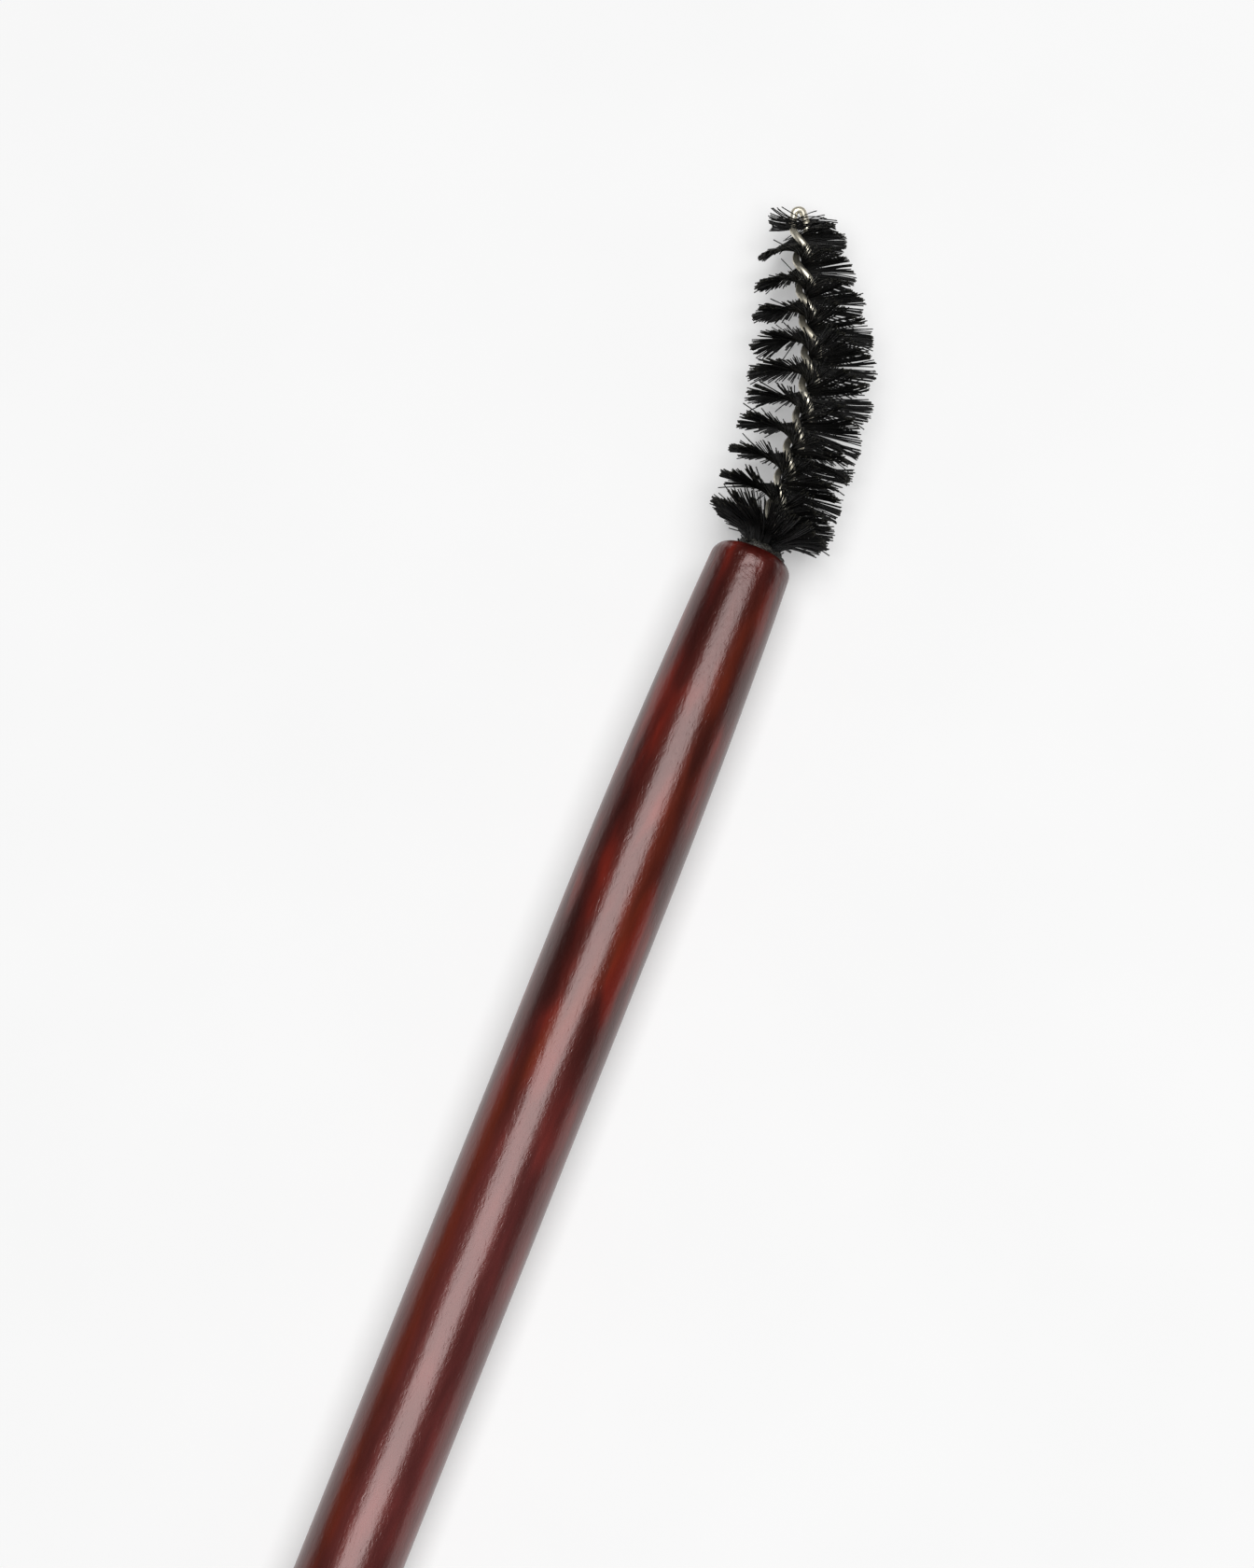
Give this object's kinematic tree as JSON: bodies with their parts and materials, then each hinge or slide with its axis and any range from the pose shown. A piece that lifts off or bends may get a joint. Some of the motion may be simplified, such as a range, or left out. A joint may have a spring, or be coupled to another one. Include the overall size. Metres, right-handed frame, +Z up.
{
  "type": "eyebrow brush",
  "caption": "Slim wooden-handled eyebrow brush with a short, sideways-bent head of black bristles held in a twisted steel wire.",
  "frame": {"origin": "on the table, under the middle of the brush's bounding box", "axes": "+Y along the handle towards the brush head, +X to the right seen from above, +Z up from the table; the head bends towards -X"},
  "size_m": [0.0124, 0.155, 0.009],
  "materials": {
    "lacquered_wood": "dark red-brown stain under a satin lacquer, with fine grain along the handle",
    "black_resin": "hardened black adhesive, rough and dull",
    "bright_steel": "bright drawn wire",
    "black_nylon": "black filaments with a faint sheen"
  },
  "bodies": {
    "root": {"handle": "lacquered_wood", "resin_plug": "black_resin", "twisted_wire": "bright_steel", "bristles": "black_nylon"}
  },
  "joints": []
}
